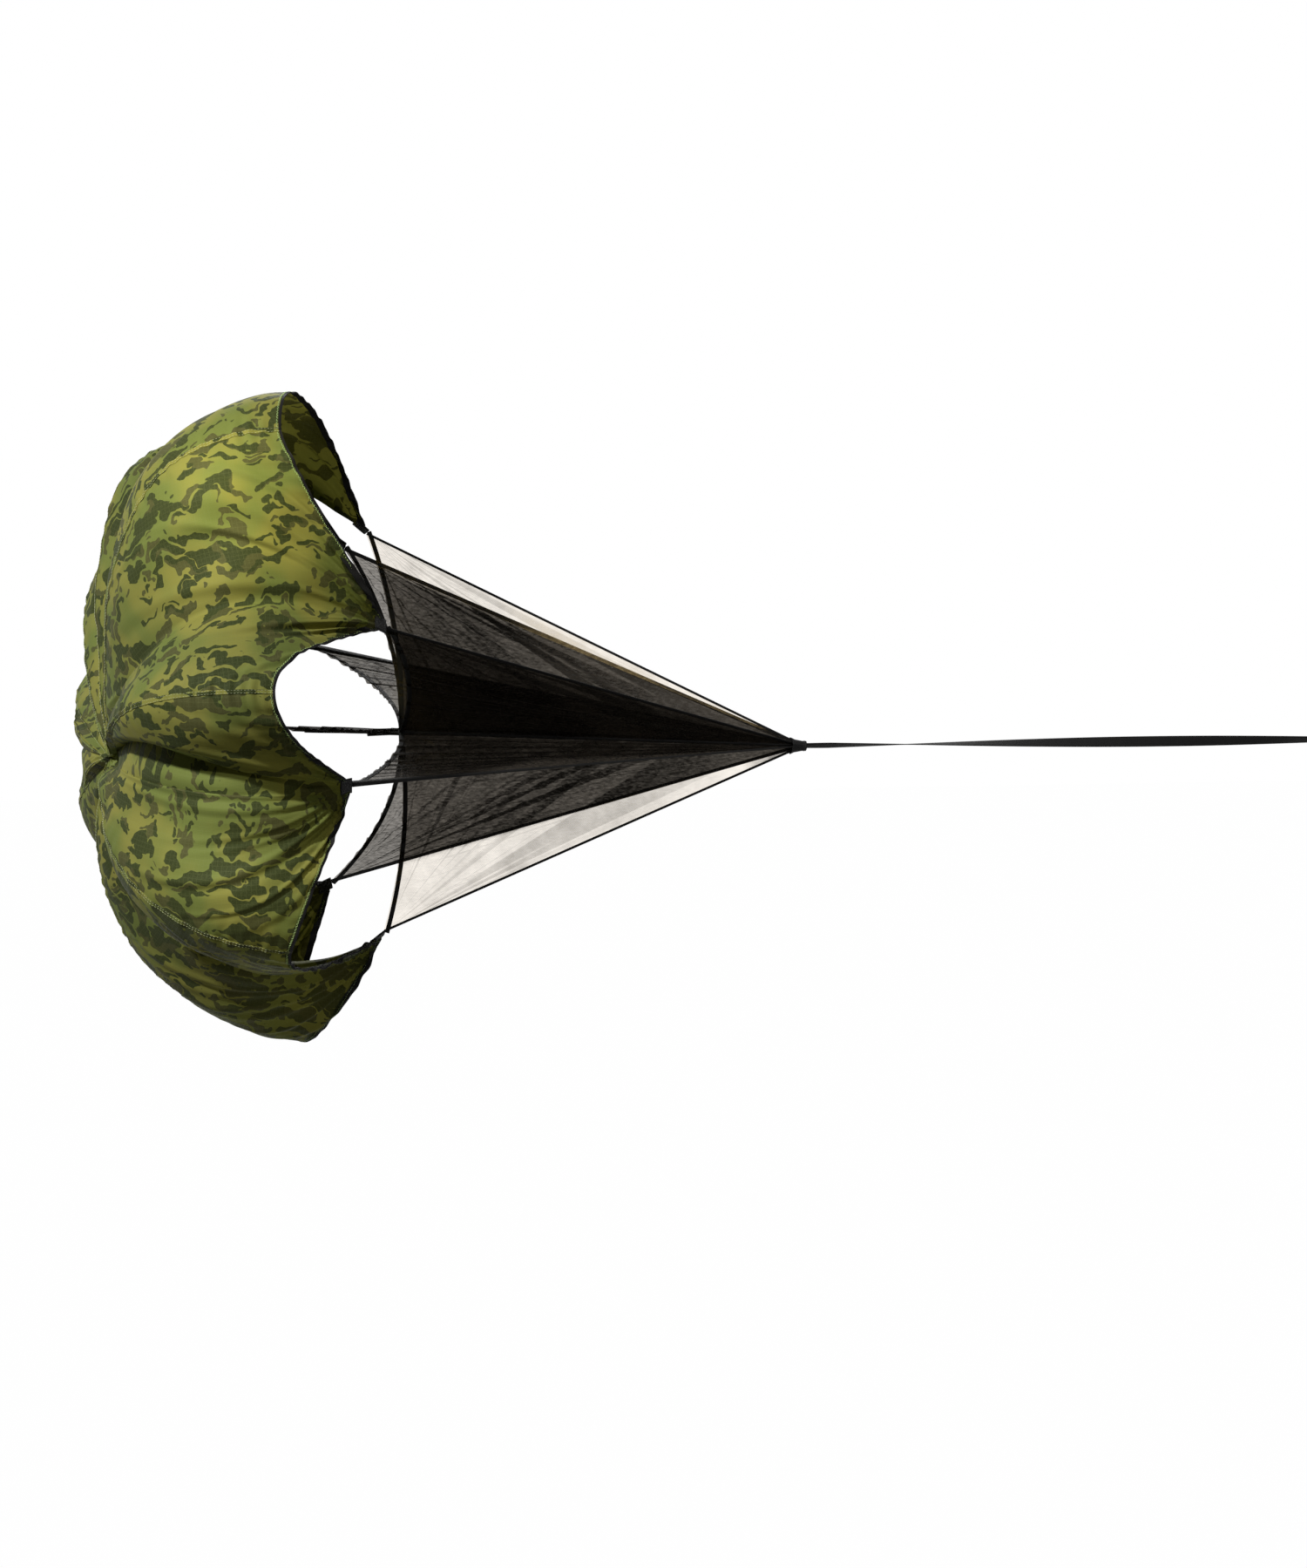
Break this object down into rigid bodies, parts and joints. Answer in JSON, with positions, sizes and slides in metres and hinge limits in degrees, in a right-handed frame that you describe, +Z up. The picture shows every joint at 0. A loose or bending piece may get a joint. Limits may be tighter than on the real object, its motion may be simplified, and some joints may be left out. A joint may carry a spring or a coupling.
{
  "type": "speed parachute",
  "caption": "Running resistance parachute: scalloped camouflage canopy, cone of black mesh fins and a flat tow strap with a swivel snap hook, inflated behind the runner.",
  "frame": {"origin": "tow point: where a belt's ring bears on the inside of the snap hook's bow, on the hook's middle plane", "axes": "+X is the way the runner pulls, along the taut strap; +Z is up; the canopy trails towards -X with its crown 2.5 degrees high"},
  "size_m": [1.864, 0.7941, 0.8569],
  "materials": {
    "camouflage_polyester": "thin woven polyester, printed with green and khaki camouflage",
    "black_binding_tape": "matte folded tape, stitched",
    "black_webbing": "flat woven webbing with a slight sheen",
    "black_mesh_cloth": "sheer knitted mesh",
    "nickel_plated_steel": "satin nickel plate"
  },
  "bodies": {
    "chute": {"canopy_gore_1": "camouflage_polyester", "canopy_gore_2": "camouflage_polyester", "canopy_gore_3": "camouflage_polyester", "canopy_gore_4": "camouflage_polyester", "canopy_gore_5": "camouflage_polyester", "canopy_gore_6": "camouflage_polyester", "canopy_gore_7": "camouflage_polyester", "canopy_gore_8": "camouflage_polyester", "gore_seam_1": "camouflage_polyester", "gore_seam_2": "camouflage_polyester", "gore_seam_3": "camouflage_polyester", "gore_seam_4": "camouflage_polyester", "gore_seam_5": "camouflage_polyester", "gore_seam_6": "camouflage_polyester", "gore_seam_7": "camouflage_polyester", "gore_seam_8": "camouflage_polyester", "crown_patch": "camouflage_polyester", "hem_binding_1": "black_binding_tape", "hem_binding_2": "black_binding_tape", "hem_binding_3": "black_binding_tape", "hem_binding_4": "black_binding_tape", "hem_binding_5": "black_binding_tape", "hem_binding_6": "black_binding_tape", "hem_binding_7": "black_binding_tape", "hem_binding_8": "black_binding_tape", "fin_binding_1": "black_binding_tape", "fin_binding_2": "black_binding_tape", "fin_binding_3": "black_binding_tape", "fin_binding_4": "black_binding_tape", "fin_binding_5": "black_binding_tape", "fin_binding_6": "black_binding_tape", "fin_binding_7": "black_binding_tape", "fin_binding_8": "black_binding_tape", "fin_spine": "black_binding_tape", "corner_tab_1": "black_webbing", "corner_tab_2": "black_webbing", "corner_tab_3": "black_webbing", "corner_tab_4": "black_webbing", "corner_tab_5": "black_webbing", "corner_tab_6": "black_webbing", "corner_tab_7": "black_webbing", "corner_tab_8": "black_webbing", "apex_wrap": "black_webbing", "tow_strap": "black_webbing", "strap_end_loop": "black_webbing", "mesh_fin_1": "black_mesh_cloth", "mesh_fin_2": "black_mesh_cloth", "mesh_fin_3": "black_mesh_cloth", "mesh_fin_4": "black_mesh_cloth", "mesh_fin_5": "black_mesh_cloth", "mesh_fin_6": "black_mesh_cloth", "mesh_fin_7": "black_mesh_cloth", "mesh_fin_8": "black_mesh_cloth"},
    "eye": {"swivel_eye": "nickel_plated_steel"},
    "hook": {"hook_body": "nickel_plated_steel", "gate_pin": "nickel_plated_steel", "gate_spring": "nickel_plated_steel"},
    "gate": {"hook_gate": "nickel_plated_steel"}
  },
  "joints": [
    {"name": "eye_tilt", "type": "hinge", "parent": "chute", "child": "eye", "pos_m": [-0.0685, 0, 0], "axis": [0, 0.8387, -0.5446], "range_deg": [-90, 90]},
    {"name": "hook_swivel", "type": "hinge", "parent": "eye", "child": "hook", "pos_m": [-0.048, 0, 0], "axis": [1, 0, 0], "continuous": true},
    {"name": "gate_open", "type": "hinge", "parent": "hook", "child": "gate", "pos_m": [-0.0378, 0, 0.0091], "axis": [0, 1, 0], "range_deg": [0, 30], "stiffness_Nm_per_rad": 0.05, "springref_deg": -11.46}
  ]
}
